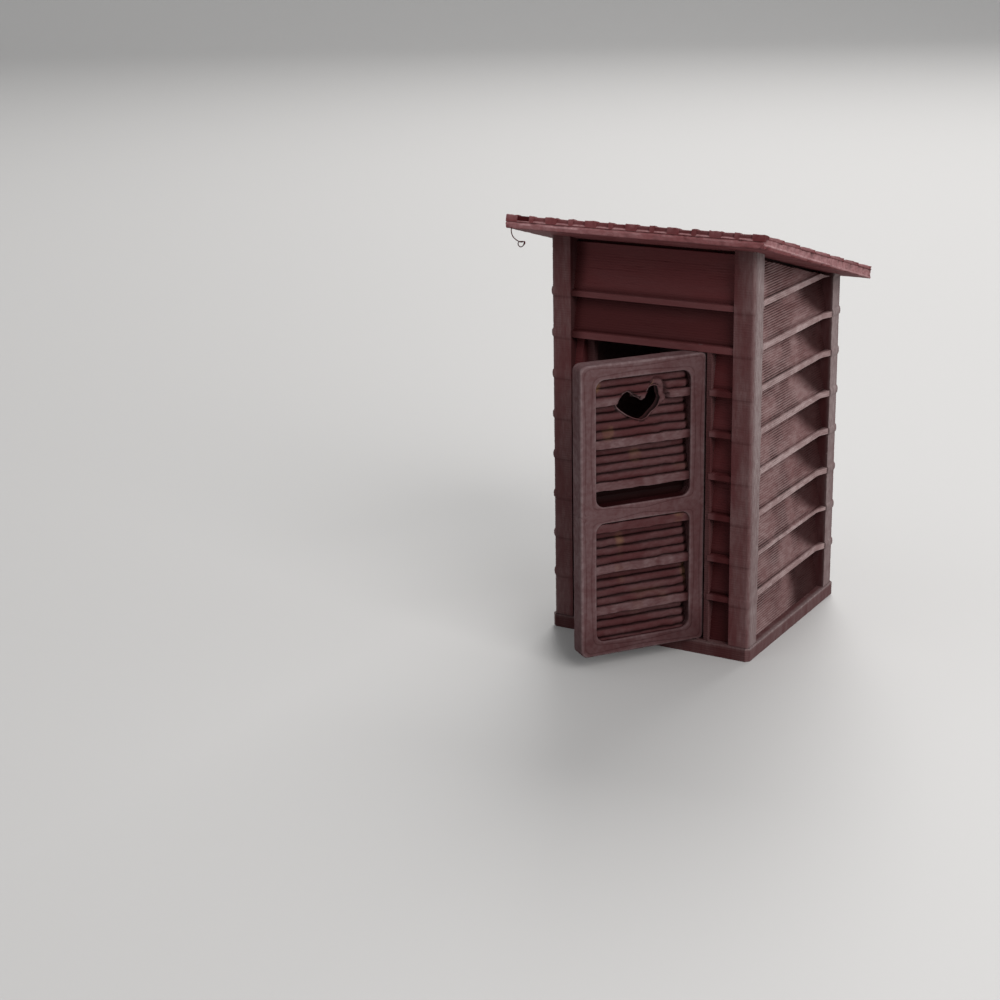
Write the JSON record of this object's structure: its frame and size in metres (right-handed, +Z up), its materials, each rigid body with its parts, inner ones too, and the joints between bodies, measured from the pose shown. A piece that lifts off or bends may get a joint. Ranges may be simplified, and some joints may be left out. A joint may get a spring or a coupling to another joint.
{
  "type": "miniature outhouse",
  "caption": "Printed plastic miniature of a wooden outhouse with lapped board walls, a single-pitch shingle roof and a framed door with a heart cut-out.",
  "frame": {"origin": "middle of the footprint, on the ground", "axes": "+Z up, +Y to the rear, so the door is on the -Y side, +X to the right as seen from the front"},
  "size_m": [0.0198, 0.0253, 0.0319],
  "materials": {
    "wall_print": "painted dark red-brown, pale dry-brushing on the raised edges, fine print layers",
    "roof_print": "painted red-brown, pale dry-brushing on the shingle edges",
    "door_print": "painted dark red-brown under a pale haze, printed lying flat"
  },
  "bodies": {
    "outhouse": {"base_plate": "wall_print", "corner_post_front_left": "wall_print", "corner_post_front_right": "wall_print", "corner_post_rear_left": "wall_print", "corner_post_rear_right": "wall_print", "left_wall": "wall_print", "right_wall": "wall_print", "rear_wall": "wall_print", "front_wall_header": "wall_print", "front_wall_left": "wall_print", "front_wall_right": "wall_print", "door_jamb_left": "wall_print", "door_jamb_right": "wall_print", "roof_deck": "roof_print", "roof_course_01": "roof_print", "roof_course_02": "roof_print", "roof_course_03": "roof_print", "roof_course_04": "roof_print", "roof_course_05": "roof_print", "roof_course_06": "roof_print", "roof_course_07": "roof_print", "roof_front_edge": "roof_print"},
    "door": {"door_stile_hinge": "door_print", "door_stile_free": "door_print", "door_rail_bottom": "door_print", "door_rail_middle": "door_print", "door_rail_top": "door_print", "door_panel_lower": "door_print", "door_panel_upper": "door_print", "heart_rim": "door_print", "door_pin_lower": "door_print", "door_pin_upper": "door_print"}
  },
  "joints": [
    {"name": "door_hinge", "type": "hinge", "parent": "outhouse", "child": "door", "pos_m": [0.00381, -0.00785, 0], "axis": [0, 0, 1], "range_deg": [-53.6, 56.4]}
  ]
}
